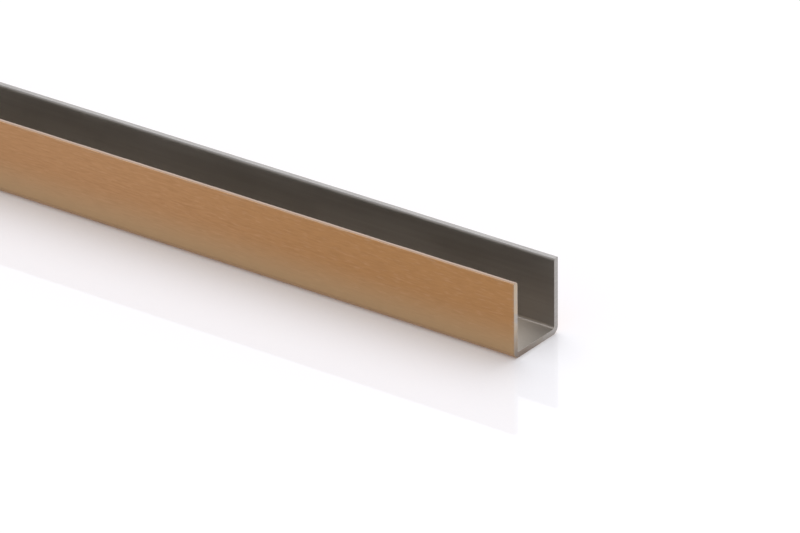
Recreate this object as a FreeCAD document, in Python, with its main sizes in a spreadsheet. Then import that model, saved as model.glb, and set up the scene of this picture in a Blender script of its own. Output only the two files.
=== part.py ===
import FreeCAD, Part
import Sketcher
import os

# A U-channel folded from one strip of sheet steel, lying on its web with the mouth up.
# The length runs along X, the width along Y and the height along Z. The origin is on the
# underside of the web, at the middle of the length and of the width.

# The driving dimensions in millimetres: what each one is, its value and its alias in the sheet.
DIMENSIONS = [
    ("Length of the stock", 1000.0, "channel_length"),
    ("Width over the two flanges", 18.0, "outer_width"),
    ("Height from the underside to the lips", 20.0, "outer_height"),
    ("Thickness of the sheet", 1.5, "sheet_thickness"),
    ("Inside radius of the two folds", 0.5, "inside_fold_radius"),
    ("Radius of the deburred edges", 0.15, "deburr_radius"),
]

# Two places nearer than this are the same place.
SAME_PLACE = 1e-4


def make_sheet(doc):
    """Fills a spreadsheet with the driving dimensions."""
    sheet = doc.addObject("Spreadsheet::Sheet", "Dimensions")
    for row, (label, value, alias) in enumerate(DIMENSIONS, start=1):
        sheet.set(f"A{row}", label)
        sheet.set(f"B{row}", str(value))
        sheet.setAlias(f"B{row}", alias)
    doc.recompute()
    return sheet


def draw_section(body, sheet):
    """Sketches the section with sharp corners; sketch X is the part's Y, sketch Y is its Z."""
    wall = sheet.sheet_thickness
    outer = sheet.outer_width / 2
    inner = outer - wall
    lip = sheet.outer_height

    # The outline, turning left all the way: web, right flange, mouth, left flange.
    corners = [
        (-outer, 0), (outer, 0), (outer, lip), (inner, lip),
        (inner, wall), (-inner, wall), (-inner, lip), (-outer, lip),
    ]
    underside, right_face, right_lip, right_inside, web_inside, left_inside, left_lip, left_face = range(8)

    sketch = body.newObject("Sketcher::SketchObject", "Section")
    across_plane = next(plane for plane in body.Origin.OriginFeatures if plane.Role == "YZ_Plane")
    sketch.AttachmentSupport = (across_plane, [""])
    sketch.MapMode = "FlatFace"

    following = corners[1:] + corners[:1]
    for start, end in zip(corners, following):
        sketch.addGeometry(Part.LineSegment(FreeCAD.Vector(*start, 0), FreeCAD.Vector(*end, 0)))

    # Each line's end, point 2, meets the next line's start, point 1.
    for side in range(8):
        sketch.addConstraint(Sketcher.Constraint("Coincident", side, 2, (side + 1) % 8, 1))
    for side in (underside, right_lip, web_inside, left_lip):
        sketch.addConstraint(Sketcher.Constraint("Horizontal", side))
    for side in (right_face, right_inside, left_inside, left_face):
        sketch.addConstraint(Sketcher.Constraint("Vertical", side))

    # The underside is centred on the sketch's origin, which is point 1 of geometry -1.
    sketch.addConstraint(Sketcher.Constraint("Symmetric", underside, 1, underside, 2, -1, 1))

    def bind(name, kind, points, alias):
        """Adds one named size and ties it to its cell."""
        index = sketch.addConstraint(Sketcher.Constraint(kind, *points, sheet.get(alias)))
        sketch.renameConstraint(index, name)
        sketch.setExpression(f"Constraints.{name}", f"Dimensions.{alias}")

    bind("width", "DistanceX", (underside, 1, underside, 2), "outer_width")
    bind("right_height", "DistanceY", (right_face, 1, right_face, 2), "outer_height")
    bind("left_height", "DistanceY", (left_face, 2, left_face, 1), "outer_height")
    bind("right_wall", "DistanceX", (right_lip, 2, right_lip, 1), "sheet_thickness")
    bind("left_wall", "DistanceX", (left_lip, 2, left_lip, 1), "sheet_thickness")
    bind("web", "DistanceY", (underside, 2, web_inside, 1), "sheet_thickness")
    return sketch


def edges_where(shape, wanted):
    """Names of the shape's edges whose box passes the wanted test."""
    return [f"Edge{number}" for number, edge in enumerate(shape.Edges, start=1) if wanted(edge.BoundBox)]


def round_edges(body, name, base, edge_names, radius):
    """Adds a fillet whose radius is an expression of the sheet's cells."""
    fillet = body.newObject("PartDesign::Fillet", name)
    fillet.Base = (base, edge_names)
    fillet.setExpression("Radius", radius)
    body.Document.recompute()
    return fillet


def make_channel(doc, sheet):
    """The whole channel: the section padded to length, folded corners, deburred edges."""
    body = doc.addObject("PartDesign::Body", "Channel")
    body.Label = "u_channel"
    body.Placement = FreeCAD.Placement()

    stock = body.newObject("PartDesign::Pad", "Stock")
    stock.Profile = draw_section(body, sheet)
    stock.SideType = "Symmetric"
    stock.setExpression("Length", "Dimensions.channel_length")
    doc.recompute()

    wall = sheet.sheet_thickness
    outer = sheet.outer_width / 2
    end = sheet.channel_length / 2
    lip = sheet.outer_height

    def along_length(half_width, height):
        """A test for the two edges that run along the channel this far out and this high."""
        def wanted(box):
            runs_along = box.XLength > end
            at_side = abs(abs(box.Center.y) - half_width) < SAME_PLACE
            at_height = abs(box.Center.z - height) < SAME_PLACE
            return runs_along and at_side and at_height
        return wanted

    def cut_edge(box):
        """A test for the edges round the lips and round the two sawn ends."""
        on_lip = box.ZLength < SAME_PLACE and abs(box.Center.z - lip) < SAME_PLACE
        on_end = box.XLength < SAME_PLACE and abs(abs(box.Center.x) - end) < SAME_PLACE
        return on_lip or on_end

    # Sheet keeps its thickness through a fold, so the outside radius is the inside one plus it.
    outside = edges_where(stock.Shape, along_length(outer, 0))
    outside_folds = round_edges(body, "OutsideFolds", stock, outside,
                                "Dimensions.inside_fold_radius + Dimensions.sheet_thickness")
    inside = edges_where(outside_folds.Shape, along_length(outer - wall, wall))
    inside_folds = round_edges(body, "InsideFolds", outside_folds, inside,
                               "Dimensions.inside_fold_radius")
    cut = edges_where(inside_folds.Shape, cut_edge)
    round_edges(body, "DeburredEdges", inside_folds, cut, "Dimensions.deburr_radius")
    return body


def check_document(doc, parts, sketches):
    """Stops before anything is written if an object failed or a shape is not one sound solid."""
    for item in doc.Objects:
        if "Invalid" in item.State or "Error" in item.State:
            raise RuntimeError(f"{item.Name} failed: {item.State}")
    for sketch in sketches:
        if not sketch.FullyConstrained:
            raise RuntimeError(f"{sketch.Name} is not fully constrained")
    for part in parts:
        shape = part.Shape
        if shape.isNull() or not shape.isValid() or len(shape.Solids) != 1:
            raise RuntimeError(f"{part.Label} is not one valid solid")


def main():
    doc = FreeCAD.newDocument("UChannel")
    sheet = make_sheet(doc)
    channel = make_channel(doc, sheet)
    doc.recompute()

    check_document(doc, [channel], doc.findObjects("Sketcher::SketchObject"))

    os.makedirs("parts", exist_ok=True)
    channel.Shape.exportStep(f"parts/{channel.Label}.step")
    box = channel.Shape.BoundBox
    print(f"{channel.Label}: {box.XLength:.2f} x {box.YLength:.2f} x {box.ZLength:.2f} mm,",
          f"{channel.Shape.Volume:.1f} mm3, {len(channel.Shape.Faces)} faces")


main()
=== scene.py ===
import math

import bmesh
import bpy
from mathutils import Matrix, Vector, noise


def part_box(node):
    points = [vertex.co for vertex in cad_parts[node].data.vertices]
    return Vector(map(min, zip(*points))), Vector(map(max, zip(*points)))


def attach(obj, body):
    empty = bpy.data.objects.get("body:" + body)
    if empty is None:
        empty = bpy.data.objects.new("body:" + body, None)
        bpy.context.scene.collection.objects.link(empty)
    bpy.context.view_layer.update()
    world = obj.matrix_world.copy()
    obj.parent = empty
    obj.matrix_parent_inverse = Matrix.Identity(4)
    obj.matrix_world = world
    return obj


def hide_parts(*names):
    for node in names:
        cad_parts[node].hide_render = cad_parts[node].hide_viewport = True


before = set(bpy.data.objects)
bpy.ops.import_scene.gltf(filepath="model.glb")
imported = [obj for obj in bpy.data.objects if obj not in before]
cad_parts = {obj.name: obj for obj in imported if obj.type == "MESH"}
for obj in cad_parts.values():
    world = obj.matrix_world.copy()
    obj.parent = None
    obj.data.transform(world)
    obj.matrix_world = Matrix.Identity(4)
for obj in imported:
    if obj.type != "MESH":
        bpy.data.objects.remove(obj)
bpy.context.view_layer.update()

# ---------------------------------------------------------------------------------------------
# The channel: one strip of stainless sheet, folded twice on a press brake into a U and sawn to
# length. The strip was slit from a wide sheet whose good side was brushed and coated before the
# folding, so the coating turns the folds unbroken and stops at the slit lips and the sawn ends.

MM = 0.001
SHEET_THICKNESS = 1.5 * MM
INSIDE_FOLD_RADIUS = 0.5 * MM
OUTSIDE_FOLD_RADIUS = INSIDE_FOLD_RADIUS + SHEET_THICKNESS

low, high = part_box("u_channel")
HALF_LENGTH = (high.x - low.x) / 2
HALF_WIDTH = (high.y - low.y) / 2
HEIGHT = high.z

# Slitting rolls the edges of a lip over: each goes this far into the thickness and this far down
# the flange, and wanders by up to a third of that, every few millimetres along the stock.
OUTER_ROLLOVER = (0.10 * MM, 0.12 * MM)
INNER_ROLLOVER = (0.34 * MM, 1.0 * MM)
UNEVENNESS = 0.35
UNEVEN_LENGTH = 7 * MM
FAR_LIP, NEAR_LIP = 0, 3  # the first of each lip's two edges, for the wandering
EDGES_APART, EDGES_START = 11.3, 4.7  # places in the noise, so that no two edges wander alike

# The saw's burr is filed off by hand, and the file hardly reaches the inside edges.
FILED_EDGE = 0.09 * MM
FILED_INSIDE = 0.25
FILING_WANDER = (0.35, 9.0, 0.6)  # steps through the noise: a station, a metre; and its start

# Steps along the section and along the stock.
WEB_STEPS, FOLD_STEPS, FLANGE_STEPS, EDGE_STEPS, FILED_STEPS = 4, 12, 5, 7, 4
LENGTH_STEPS = 240
QUARTER_TURN = math.pi / 2

OUTSIDE, INSIDE, SLIT, SAWN = range(4)  # the four finishes, which are also the material slots


def spread(start, end, steps):
    """Evenly spaced values from start to end, with the start left out."""
    return [start + (end - start) * step / steps for step in range(1, steps + 1)]


def uneven(x, edge):
    """A factor near 1 that wanders along the stock, different for each edge of a lip."""
    here = Vector((x / UNEVEN_LENGTH, EDGES_APART * edge, EDGES_START))
    return 1 + UNEVENNESS * noise.noise(here)


def rollover(face, inward, size):
    """Stations of a lip's edge, from a flange's face up to the lip, round a quarter ellipse.

    A station is (place, normal), both as (y, z).
    """
    across, down = size
    stations = []
    for angle in spread(0.0, QUARTER_TURN, EDGE_STEPS):
        place = Vector((face + inward * across * (1 - math.cos(angle)),
                        HEIGHT - down * (1 - math.sin(angle))))
        normal = Vector((-inward * down * math.cos(angle), across * math.sin(angle)))
        stations.append((place, normal.normalized()))
    return stations


def half_section(x, lip):
    """Pairs of stations, outside and inside, from the web's middle to the lip on the +y side."""
    centre = Vector((HALF_WIDTH - OUTSIDE_FOLD_RADIUS, OUTSIDE_FOLD_RADIUS))
    inner_face = HALF_WIDTH - SHEET_THICKNESS
    outer_edge = [side * uneven(x, lip) for side in OUTER_ROLLOVER]
    inner_edge = [side * uneven(x, lip + 1) for side in INNER_ROLLOVER]

    pairs = []
    for y in [0.0] + spread(0.0, centre.x, WEB_STEPS):
        pairs.append(((Vector((y, 0.0)), Vector((0, -1))),
                      (Vector((y, SHEET_THICKNESS)), Vector((0, 1)))))
    for angle in spread(0.0, QUARTER_TURN, FOLD_STEPS):
        away = Vector((math.sin(angle), -math.cos(angle)))
        pairs.append(((centre + OUTSIDE_FOLD_RADIUS * away, away),
                      (centre + INSIDE_FOLD_RADIUS * away, -away)))
    outside_heights = spread(centre.y, HEIGHT - outer_edge[1], FLANGE_STEPS)
    inside_heights = spread(centre.y, HEIGHT - inner_edge[1], FLANGE_STEPS)
    for outside_z, inside_z in zip(outside_heights, inside_heights):
        pairs.append(((Vector((HALF_WIDTH, outside_z)), Vector((1, 0))),
                      (Vector((inner_face, inside_z)), Vector((-1, 0)))))
    outer_stations = rollover(HALF_WIDTH, -1, outer_edge)
    inner_stations = rollover(inner_face, 1, inner_edge)
    return pairs + list(zip(outer_stations, inner_stations))


def whole_section(x):
    """The closed outline's stations, out along the outside and back along the inside."""
    def mirrored(station):
        return tuple(Vector((-part.x, part.y)) for part in station)

    near_half = [(mirrored(outside), mirrored(inside))
                 for outside, inside in half_section(x, NEAR_LIP)[:0:-1]]
    pairs = near_half + half_section(x, FAR_LIP)
    return [outside for outside, _ in pairs] + [inside for _, inside in reversed(pairs)]


def rings():
    """(x, inset, lean) of each ring. A sawn end's filed edge turns from its face to the side."""
    leans = [QUARTER_TURN * (1 - step / FILED_STEPS) for step in range(FILED_STEPS + 1)]
    start = [(-HALF_LENGTH + FILED_EDGE * (1 - math.sin(lean)),
              FILED_EDGE * (1 - math.cos(lean)), -lean) for lean in leans]
    straight = HALF_LENGTH - FILED_EDGE
    middle = [(x, 0.0, 0.0) for x in spread(-straight, straight, LENGTH_STEPS)[:-1]]
    end = [(-x, inset, -lean) for x, inset, lean in reversed(start)]
    return start + middle + end


def channel_mesh():
    """The folded sheet as quads between rings, with exact normals and an unfolded-strip map."""
    shape = bmesh.new()
    unfolded = shape.loops.layers.uv.new("unfolded_strip")
    per_station, per_metre, wander_start = FILING_WANDER
    outline = [place for place, _ in whole_section(0.0)]
    around = len(outline)
    half = around // 2

    grid, normals = [], []
    for x, inset, lean in rings():
        ring = []
        for station, (place, normal) in enumerate(whole_section(x)):
            here = Vector((station * per_station, x * per_metre, wander_start))
            filed = inset * (1 + UNEVENNESS * noise.noise(here))
            if station >= half:
                filed *= FILED_INSIDE
            sunk = place - normal * filed
            ring.append(shape.verts.new((x, sunk.x, sunk.y)))
            sideways = math.cos(lean)
            normals.append(Vector((math.sin(lean), normal.x * sideways, normal.y * sideways)))
        grid.append(ring)

    # Distance round the outline from its first station, for the unfolded map.
    girth = [0.0]
    for here, there in zip(outline, outline[1:] + outline[:1]):
        girth.append(girth[-1] + (there - here).length)

    def finish_of(station):
        """The finish of the strip of quads from this station to the next."""
        side = station % half
        if side == half - 1:
            return SLIT
        if station < half:
            return OUTSIDE
        return SLIT if min(side, half - 2 - side) < EDGE_STEPS // 2 else INSIDE

    for ring, following in zip(grid, grid[1:]):
        for station in range(around):
            after = (station + 1) % around
            face = shape.faces.new(
                (ring[station], ring[after], following[after], following[station]))
            face.material_index = finish_of(station)
            for loop, reached in zip(face.loops, (station, station + 1, station + 1, station)):
                loop[unfolded].uv = (girth[reached], loop.vert.co.x)

    # The two sawn faces are ladders from the outside stations to the inside ones.
    for ring, outward in ((grid[0], False), (grid[-1], True)):
        for station in range(half - 1):
            opposite = around - 1 - station
            corners = [ring[station], ring[station + 1], ring[opposite - 1], ring[opposite]]
            face = shape.faces.new(corners if outward else corners[::-1])
            face.material_index = SAWN
            for loop in face.loops:
                loop[unfolded].uv = (loop.vert.co.y, loop.vert.co.z)

    for face in shape.faces:
        face.smooth = True
    mesh = bpy.data.meshes.new("channel")
    shape.to_mesh(mesh)
    shape.free()
    mesh.normals_split_custom_set_from_vertices(normals)
    return mesh


def linear(hex_colour):
    """An sRGB hex colour as linear red, green, blue and alpha."""
    channels = [int(hex_colour[place:place + 2], 16) / 255 for place in (1, 3, 5)]
    return [c / 12.92 if c <= 0.04045 else ((c + 0.055) / 1.055) ** 2.4 for c in channels] + [1.0]


# A colour Mix node's sockets, which share their names with others: how much, of what, with what.
SHARE, BASE, OVER, MIXED = 0, 6, 7, 2


def add_node(tree, kind, sockets=None, **settings):
    """Adds one node. Its sockets go by name, or by number where several have the same name.

    A socket takes a value, or another node's output, which is linked to it.
    """
    made = tree.nodes.new(kind)
    for name, value in settings.items():
        setattr(made, name, value)
    for name, value in (sockets or {}).items():
        if isinstance(value, bpy.types.NodeSocket):
            tree.links.new(value, made.inputs[name])
        else:
            made.inputs[name].default_value = value
    return made


def new_material(name):
    """An empty node material and the place of each point on the part, in metres."""
    material = bpy.data.materials.new(name)
    material.use_nodes = True
    tree = material.node_tree
    tree.nodes.clear()
    place = add_node(tree, "ShaderNodeTexCoord").outputs["Object"]
    return material, tree, place


def streaks(tree, place, length_mm, width_mm, shift=0.0, detail=3.0):
    """Uneven streaks along the stock, this long and this wide, mostly between 0.3 and 0.7."""
    across = 1 / (width_mm * MM)
    remapped = add_node(tree, "ShaderNodeMapping", {
        "Vector": place,
        "Scale": (1 / (length_mm * MM), across, across),
        "Location": (shift, shift, shift),
    })
    return add_node(tree, "ShaderNodeTexNoise", {
        "Vector": remapped.outputs[0], "Scale": 1.0, "Detail": detail, "Roughness": 0.6,
    }).outputs["Fac"]


def copper_coated_steel():
    """Stainless sheet belt-brushed along its length, then vapour-coated a copper colour.

    The eye gets a warm satin metal with short faint lines along the stock and a tone that drifts
    slowly from gold to pink. Low on the flanges the coating is painted paler and greyer, a
    painted reflection of the table in place of its shade, and the bottom of the fold paler still,
    painted light that lifts the contact shade. The coating has worn dull and thin at the cut
    edges.
    """
    material, tree, place = new_material("brushed_copper_coated_steel")

    # The belt's grit leaves lines about 0.05 mm wide; they are drawn 0.5 mm wide so as to show.
    brushing = streaks(tree, place, 4.5, 0.5)
    flecks = streaks(tree, place, 3.0, 0.55, shift=5.2, detail=1.0)
    drift = streaks(tree, place, 240, 30, shift=2.0, detail=1.0)
    tone = add_node(tree, "ShaderNodeMapRange", {
        "Value": drift, "From Min": 0.35, "From Max": 0.65,
    }).outputs[0]
    tone = add_node(tree, "ShaderNodeMix", {
        SHARE: tone, BASE: linear("#aa7e51"), OVER: linear("#b2875f"),
    }, data_type="RGBA").outputs[MIXED]
    dark_lines = add_node(tree, "ShaderNodeMapRange", {
        "Value": brushing, "From Min": 0.4, "From Max": 0.7, "To Max": 0.34,
    }).outputs[0]
    tone = add_node(tree, "ShaderNodeMix", {
        SHARE: dark_lines, BASE: tone, OVER: linear("#98704a"),
    }, data_type="RGBA").outputs[MIXED]
    pale_flecks = add_node(tree, "ShaderNodeMapRange", {
        "Value": flecks, "From Min": 0.54, "From Max": 0.78, "To Max": 0.3,
    }).outputs[0]
    tone = add_node(tree, "ShaderNodeMix", {
        SHARE: pale_flecks, BASE: tone, OVER: linear("#c29a76"),
    }, data_type="RGBA").outputs[MIXED]

    # Painted reflection: from high up the flange down to the fold, the coating is painted paler
    # and greyer in place of the shaded table that it reflects, but not under the web.
    sites = add_node(tree, "ShaderNodeSeparateXYZ", {"Vector": place}).outputs
    from_axis = add_node(tree, "ShaderNodeMath", {
        0: sites["Y"],
    }, operation="ABSOLUTE").outputs[0]
    off_web = add_node(tree, "ShaderNodeMapRange", {
        "Value": from_axis,
        "From Min": HALF_WIDTH - 1.5 * OUTSIDE_FOLD_RADIUS,
        "From Max": HALF_WIDTH - OUTSIDE_FOLD_RADIUS,
    }).outputs[0]
    remapped = add_node(tree, "ShaderNodeMapRange", {
        "Value": sites["Z"], "From Min": 6 * OUTSIDE_FOLD_RADIUS, "From Max": 0.0, "To Max": 0.85,
    }, interpolation_type="SMOOTHSTEP").outputs[0]
    remapped = add_node(tree, "ShaderNodeMath", {
        0: remapped, 1: off_web,
    }, operation="MULTIPLY").outputs[0]
    tone = add_node(tree, "ShaderNodeMix", {
        SHARE: remapped, BASE: tone, OVER: linear("#b99d7a"),
    }, data_type="RGBA").outputs[MIXED]
    # Painted light: the bottom of the fold is painted paler still, lifting the shade where it
    # meets the table.
    painted_contact_light = add_node(tree, "ShaderNodeMapRange", {
        "Value": sites["Z"],
        "From Min": 0.7 * OUTSIDE_FOLD_RADIUS,
        "From Max": 0.1 * OUTSIDE_FOLD_RADIUS,
    }).outputs[0]
    painted_contact_light = add_node(tree, "ShaderNodeMath", {
        0: painted_contact_light, 1: off_web,
    }, operation="MULTIPLY").outputs[0]
    tone = add_node(tree, "ShaderNodeMix", {
        SHARE: painted_contact_light, BASE: tone, OVER: linear("#d0aa86"),
    }, data_type="RGBA").outputs[MIXED]

    # The wear reaches 0.8 mm in from the sawn ends and, more weakly, 1.2 mm down from the lips.
    from_middle = add_node(tree, "ShaderNodeMath", {
        0: sites["X"],
    }, operation="ABSOLUTE").outputs[0]
    near_saw = add_node(tree, "ShaderNodeMapRange", {
        "Value": from_middle, "From Min": HALF_LENGTH - 0.8 * MM, "From Max": HALF_LENGTH,
    }).outputs[0]
    near_lip = add_node(tree, "ShaderNodeMapRange", {
        "Value": sites["Z"], "From Min": HEIGHT - 1.2 * MM, "From Max": HEIGHT, "To Max": 0.7,
    }).outputs[0]
    near_cut = add_node(tree, "ShaderNodeMath", {
        0: near_saw, 1: near_lip,
    }, operation="MAXIMUM").outputs[0]
    worn = add_node(tree, "ShaderNodeMath", {
        0: near_cut, 1: flecks,
    }, operation="ADD").outputs[0]
    worn = add_node(tree, "ShaderNodeMapRange", {
        "Value": worn, "From Min": 0.9, "From Max": 1.5, "To Max": 0.55,
    }).outputs[0]
    tone = add_node(tree, "ShaderNodeMix", {
        SHARE: worn, BASE: tone, OVER: linear("#a08c77"),
    }, data_type="RGBA").outputs[MIXED]

    matt = add_node(tree, "ShaderNodeMapRange", {
        "Value": brushing, "From Min": 0.3, "From Max": 0.7, "To Min": 0.3, "To Max": 0.42,
    }).outputs[0]
    relief = add_node(tree, "ShaderNodeBump", {
        "Height": brushing, "Strength": 0.25, "Distance": 0.02 * MM,
    })
    along = add_node(tree, "ShaderNodeTangent", direction_type="UV_MAP", uv_map="unfolded_strip")
    surface = add_node(tree, "ShaderNodeBsdfPrincipled", {
        "Base Color": tone,
        "Metallic": 1.0,
        "Roughness": matt,
        "Anisotropic": 0.6,
        "Tangent": along.outputs[0],
        "Normal": relief.outputs[0],
    })
    add_node(tree, "ShaderNodeOutputMaterial", {"Surface": surface.outputs[0]})
    return material


def mill_steel():
    """The sheet's back: stainless as it left the cold-rolling mill, neither brushed nor coated.

    The eye gets a dull warm grey that goes dark between the flanges, with faint rolling lines.
    The web is paler and duller in the middle of the stock: partly scuffing by what has lain in
    it, partly painted light that lifts the shade deep in the channel, so less of it near the sawn
    ends.
    The inside of the folds carries a painted highlight.
    """
    material, tree, place = new_material("mill_finish_stainless")
    rolling = streaks(tree, place, 45, 0.9)
    clouds = streaks(tree, place, 38, 9, shift=3.1, detail=2.0)
    tone = add_node(tree, "ShaderNodeMapRange", {
        "Value": clouds, "From Min": 0.35, "From Max": 0.65,
    }).outputs[0]
    tone = add_node(tree, "ShaderNodeMix", {
        SHARE: tone, BASE: linear("#99948f"), OVER: linear("#a29d98"),
    }, data_type="RGBA").outputs[MIXED]
    lines = add_node(tree, "ShaderNodeMapRange", {
        "Value": rolling, "From Min": 0.4, "From Max": 0.7, "To Max": 0.25,
    }).outputs[0]
    tone = add_node(tree, "ShaderNodeMix", {
        SHARE: lines, BASE: tone, OVER: linear("#857f79"),
    }, data_type="RGBA").outputs[MIXED]

    sites = add_node(tree, "ShaderNodeSeparateXYZ", {"Vector": place}).outputs
    on_web = add_node(tree, "ShaderNodeMapRange", {
        "Value": sites["Z"], "From Min": SHEET_THICKNESS + 0.2 * MM, "From Max": SHEET_THICKNESS,
    }).outputs[0]
    from_middle = add_node(tree, "ShaderNodeMath", {
        0: sites["X"],
    }, operation="ABSOLUTE").outputs[0]
    # Painted light mixed with real scuffing: the web is paler and duller deep in the channel,
    # lifting its shade, and less so towards the sawn ends.
    scuff_and_light_by_depth = add_node(tree, "ShaderNodeMapRange", {
        "Value": from_middle,
        "From Min": HALF_LENGTH - 9 * MM,
        "From Max": HALF_LENGTH,
        "To Min": 0.95,
        "To Max": 0.25,
    }).outputs[0]
    scuff_and_painted_light = add_node(tree, "ShaderNodeMath", {
        0: on_web, 1: scuff_and_light_by_depth,
    }, operation="MULTIPLY").outputs[0]
    tone = add_node(tree, "ShaderNodeMix", {
        SHARE: scuff_and_painted_light, BASE: tone, OVER: linear("#cdc3b8"),
    }, data_type="RGBA").outputs[MIXED]

    # A painted highlight: a paler band centred near the top of the inside fold, clear of the web.
    from_band = add_node(tree, "ShaderNodeMath", {
        0: sites["Z"], 1: -SHEET_THICKNESS - 0.8 * INSIDE_FOLD_RADIUS,
    }, operation="ADD").outputs[0]
    from_band = add_node(tree, "ShaderNodeMath", {
        0: from_band,
    }, operation="ABSOLUTE").outputs[0]
    painted_fold_highlight = add_node(tree, "ShaderNodeMapRange", {
        "Value": from_band,
        "From Min": 0.8 * INSIDE_FOLD_RADIUS,
        "From Max": 0.2 * INSIDE_FOLD_RADIUS,
        "To Max": 0.8,
    }).outputs[0]
    tone = add_node(tree, "ShaderNodeMix", {
        SHARE: painted_fold_highlight, BASE: tone, OVER: linear("#cfc8c1"),
    }, data_type="RGBA").outputs[MIXED]

    matt = add_node(tree, "ShaderNodeMapRange", {
        "Value": clouds, "From Min": 0.3, "From Max": 0.7, "To Min": 0.4, "To Max": 0.47,
    }).outputs[0]
    matt = add_node(tree, "ShaderNodeMath", {
        0: scuff_and_painted_light, 1: 0.4, 2: matt,
    }, operation="MULTIPLY_ADD").outputs[0]
    relief = add_node(tree, "ShaderNodeBump", {
        "Height": rolling, "Strength": 0.12, "Distance": 0.02 * MM,
    })
    surface = add_node(tree, "ShaderNodeBsdfPrincipled", {
        "Base Color": tone,
        "Metallic": 1.0,
        "Roughness": matt,
        "Normal": relief.outputs[0],
    })
    add_node(tree, "ShaderNodeOutputMaterial", {"Surface": surface.outputs[0]})
    return material


def slit_steel():
    """The lips, where rotary knives slit the strip from the sheet: half sheared, half torn.

    The eye gets a thin dull grey line that wanders a little in tone. The -y lip faced the vapour,
    so it is warmer, and the copper colour crept over its outer edge.
    """
    material, tree, place = new_material("slit_bare_stainless")
    shear = streaks(tree, place, 9, 0.3)
    tone = add_node(tree, "ShaderNodeMapRange", {
        "Value": shear, "From Min": 0.35, "From Max": 0.65,
    }).outputs[0]
    tone = add_node(tree, "ShaderNodeMix", {
        SHARE: tone, BASE: linear("#8a8786"), OVER: linear("#999796"),
    }, data_type="RGBA").outputs[MIXED]

    across = add_node(tree, "ShaderNodeSeparateXYZ", {"Vector": place}).outputs["Y"]
    warmed = add_node(tree, "ShaderNodeMapRange", {
        "Value": across,
        "From Min": 2 * SHEET_THICKNESS - HALF_WIDTH,
        "From Max": SHEET_THICKNESS - HALF_WIDTH,
        "To Max": 0.85,
    }).outputs[0]
    tone = add_node(tree, "ShaderNodeMix", {
        SHARE: warmed, BASE: tone, OVER: linear("#9d897c"),
    }, data_type="RGBA").outputs[MIXED]
    crept = add_node(tree, "ShaderNodeMapRange", {
        "Value": across,
        "From Min": 0.9 * MM - HALF_WIDTH,
        "From Max": 0.2 * MM - HALF_WIDTH,
        "To Max": 0.85,
    }).outputs[0]
    tone = add_node(tree, "ShaderNodeMix", {
        SHARE: crept, BASE: tone, OVER: linear("#82664e"),
    }, data_type="RGBA").outputs[MIXED]

    matt = add_node(tree, "ShaderNodeMapRange", {
        "Value": shear, "From Min": 0.3, "From Max": 0.7, "To Min": 0.36, "To Max": 0.46,
    }).outputs[0]
    relief = add_node(tree, "ShaderNodeBump", {
        "Height": shear, "Strength": 0.25, "Distance": 0.03 * MM,
    })
    surface = add_node(tree, "ShaderNodeBsdfPrincipled", {
        "Base Color": tone,
        "Metallic": 1.0,
        "Roughness": matt,
        "Normal": relief.outputs[0],
    })
    add_node(tree, "ShaderNodeOutputMaterial", {"Surface": surface.outputs[0]})
    return material


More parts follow.
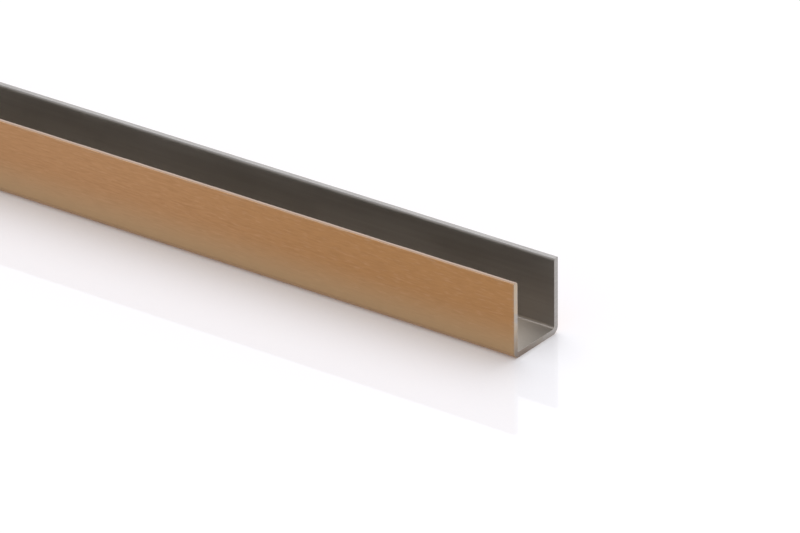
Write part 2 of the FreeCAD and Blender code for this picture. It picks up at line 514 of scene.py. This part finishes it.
def sawn_steel():
    """The sawn ends: bare stainless with fine saw marks, its burr taken off with a file.

    The eye gets a pale matt face, straw-coloured in patches on the -y side, where the blade came
    in and heated it. It is painted darker towards the web and the -y fold: painted shade, for the
    shaded table that the face reflects there.
    """
    material, tree, place = new_material("sawn_bare_stainless")

    # The teeth leave marks about 0.1 mm apart; they are drawn 0.35 mm apart so as to show.
    teeth = add_node(tree, "ShaderNodeMapping", {
        "Vector": place, "Scale": (1 / MM, 1 / (2.4 * MM), 1 / (0.35 * MM)),
    })
    marks = add_node(tree, "ShaderNodeTexNoise", {
        "Vector": teeth.outputs[0], "Scale": 1.0, "Detail": 3.0, "Roughness": 0.6,
    }).outputs["Fac"]
    tone = add_node(tree, "ShaderNodeMapRange", {
        "Value": marks, "From Min": 0.35, "From Max": 0.65,
    }).outputs[0]
    tone = add_node(tree, "ShaderNodeMix", {
        SHARE: tone, BASE: linear("#a5a29f"), OVER: linear("#b4b1ad"),
    }, data_type="RGBA").outputs[MIXED]

    sites = add_node(tree, "ShaderNodeSeparateXYZ", {"Vector": place}).outputs
    heat = streaks(tree, place, 6, 3.5, shift=7.0, detail=2.0)
    tint = add_node(tree, "ShaderNodeMapRange", {
        "Value": heat, "From Min": 0.3, "From Max": 0.55, "To Max": 0.75,
    }).outputs[0]
    coming_in = add_node(tree, "ShaderNodeMapRange", {
        "Value": sites["Y"], "From Min": HALF_WIDTH, "From Max": -HALF_WIDTH,
    }).outputs[0]
    tint = add_node(tree, "ShaderNodeMath", {
        0: tint, 1: coming_in,
    }, operation="MULTIPLY").outputs[0]
    tone = add_node(tree, "ShaderNodeMix", {
        SHARE: tint, BASE: tone, OVER: linear("#c6b296"),
    }, data_type="RGBA").outputs[MIXED]

    # Painted shade: darker low down and towards the -y side, for the shaded table this face
    # reflects.
    low_down = add_node(tree, "ShaderNodeMapRange", {
        "Value": sites["Z"], "From Min": 9 * MM, "From Max": 0.8 * MM, "To Max": 0.75,
    }).outputs[0]
    near_side = add_node(tree, "ShaderNodeMapRange", {
        "Value": sites["Y"], "From Min": HALF_WIDTH / 2, "From Max": -HALF_WIDTH / 2,
        "To Min": 0.05,
    }).outputs[0]
    painted_shade = add_node(tree, "ShaderNodeMath", {
        0: low_down, 1: near_side,
    }, operation="MULTIPLY").outputs[0]
    tone = add_node(tree, "ShaderNodeMix", {
        SHARE: painted_shade, BASE: tone, OVER: linear("#7f726a"),
    }, data_type="RGBA").outputs[MIXED]

    matt = add_node(tree, "ShaderNodeMapRange", {
        "Value": marks, "From Min": 0.3, "From Max": 0.7, "To Min": 0.38, "To Max": 0.5,
    }).outputs[0]
    relief = add_node(tree, "ShaderNodeBump", {
        "Height": marks, "Strength": 0.3, "Distance": 0.03 * MM,
    })
    surface = add_node(tree, "ShaderNodeBsdfPrincipled", {
        "Base Color": tone,
        "Metallic": 1.0,
        "Roughness": matt,
        "Normal": relief.outputs[0],
    })
    add_node(tree, "ShaderNodeOutputMaterial", {"Surface": surface.outputs[0]})
    return material


channel = bpy.data.objects.new("channel", channel_mesh())
bpy.context.scene.collection.objects.link(channel)
for make_finish in (copper_coated_steel, mill_steel, slit_steel, sawn_steel):
    channel.data.materials.append(make_finish())
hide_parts("u_channel")
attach(channel, "root")

# ---------------------------------------------------------------------------------------------
# The table: a sheet of white gloss acrylic, cast and polished, that the channel lies on. It is
# far larger than the channel, so that no edge of it shows from any side.

TABLE_HALF_SIDE = 40.0
TABLE_LIFT = 0.09  # how much paler than it is lit the table shows


def is_seen(tree):
    """1 for a ray from the camera, or one that a gloss or a glass sends on, and 0 for others."""
    rays = add_node(tree, "ShaderNodeLightPath").outputs
    seen = add_node(tree, "ShaderNodeMath", {
        0: rays["Is Camera Ray"], 1: rays["Is Glossy Ray"],
    }, operation="MAXIMUM").outputs[0]
    return add_node(tree, "ShaderNodeMath", {
        0: seen, 1: rays["Is Transmission Ray"],
    }, operation="MAXIMUM").outputs[0]


def gloss_white_acrylic():
    """White cast acrylic: a white body under a polished skin that mirrors weakly."""
    material, tree, _ = new_material("white_gloss_acrylic")
    body = add_node(tree, "ShaderNodeBsdfPrincipled", {
        "Base Color": linear("#f6f5fa"),
        "Roughness": 0.03,
        "IOR": 1.49,
    })
    lift = add_node(tree, "ShaderNodeMath", {
        0: is_seen(tree), 1: TABLE_LIFT,
    }, operation="MULTIPLY").outputs[0]
    glow = add_node(tree, "ShaderNodeEmission", {"Color": linear("#ffffff"), "Strength": lift})
    both = add_node(tree, "ShaderNodeAddShader", {0: body.outputs[0], 1: glow.outputs[0]})
    add_node(tree, "ShaderNodeOutputMaterial", {"Surface": both.outputs[0]})
    return material


table_shape = bmesh.new()
table_shape.faces.new([
    table_shape.verts.new((x * TABLE_HALF_SIDE, y * TABLE_HALF_SIDE, 0.0))
    for x, y in ((-1, -1), (1, -1), (1, 1), (-1, 1))
])
table_mesh = bpy.data.meshes.new("table")
table_shape.to_mesh(table_mesh)
table_shape.free()
table_mesh.materials.append(gloss_white_acrylic())
table = bpy.data.objects.new("table", table_mesh)
bpy.context.scene.collection.objects.link(table)

# ---------------------------------------------------------------------------------------------
# The studio: white walls all round and one broad soft lamp overhead, behind the channel and a
# little to the left, so that the shadow falls forwards and stays soft.

WALL_LIGHT = 0.62
LAMP_POWER = 1.4
LAMP_SPREAD = math.radians(56)
LAMP_DIRECTION = Vector((-0.3, 0.4, 0.9))  # from the channel towards the lamp

world = bpy.data.worlds.new("white_studio")
world.use_nodes = True
studio = world.node_tree
studio.nodes.clear()
walls = add_node(studio, "ShaderNodeBackground", {
    "Color": linear("#ffffff"), "Strength": WALL_LIGHT,
})
backdrop = add_node(studio, "ShaderNodeBackground", {
    "Color": linear("#ffffff"), "Strength": 1.0,
})
either = add_node(studio, "ShaderNodeMixShader", {
    0: is_seen(studio), 1: walls.outputs[0], 2: backdrop.outputs[0],
})
add_node(studio, "ShaderNodeOutputWorld", {"Surface": either.outputs[0]})
bpy.context.scene.world = world

lamp_data = bpy.data.lights.new("overhead_softbox", "SUN")
lamp_data.energy = LAMP_POWER
lamp_data.angle = LAMP_SPREAD
lamp = bpy.data.objects.new("overhead_softbox", lamp_data)
lamp.rotation_euler = LAMP_DIRECTION.to_track_quat("Z", "Y").to_euler()
bpy.context.scene.collection.objects.link(lamp)

# ---------------------------------------------------------------------------------------------
# The camera: a long lens from the right and above, looking at the channel near its sawn end, so
# that the far part of the stock runs out of the picture on the left.

CAMERA_TURN = math.radians(36.63)
CAMERA_RISE = math.radians(26.53)
CAMERA_ROLL = math.radians(-0.66)
CAMERA_DISTANCE = 1.6741
CAMERA_LENS = 315.0
SEES_AS_FAR_AS = 500.0
AIM = Vector((HALF_LENGTH - 39.88 * MM, 0.0, 9.61 * MM))

back = Vector((math.sin(CAMERA_TURN) * math.cos(CAMERA_RISE),
               -math.cos(CAMERA_TURN) * math.cos(CAMERA_RISE),
               math.sin(CAMERA_RISE)))
camera_data = bpy.data.cameras.new("camera")
camera_data.lens = CAMERA_LENS
camera_data.clip_end = SEES_AS_FAR_AS
camera = bpy.data.objects.new("camera", camera_data)
facing = back.to_track_quat("Z", "Y").to_matrix().to_4x4()
camera.matrix_world = (Matrix.Translation(AIM + back * CAMERA_DISTANCE) @ facing
                       @ Matrix.Rotation(CAMERA_ROLL, 4, "Z"))
bpy.context.scene.collection.objects.link(camera)
bpy.context.scene.camera = camera
bpy.context.scene.view_settings.view_transform = "Standard"

bpy.context.view_layer.update()
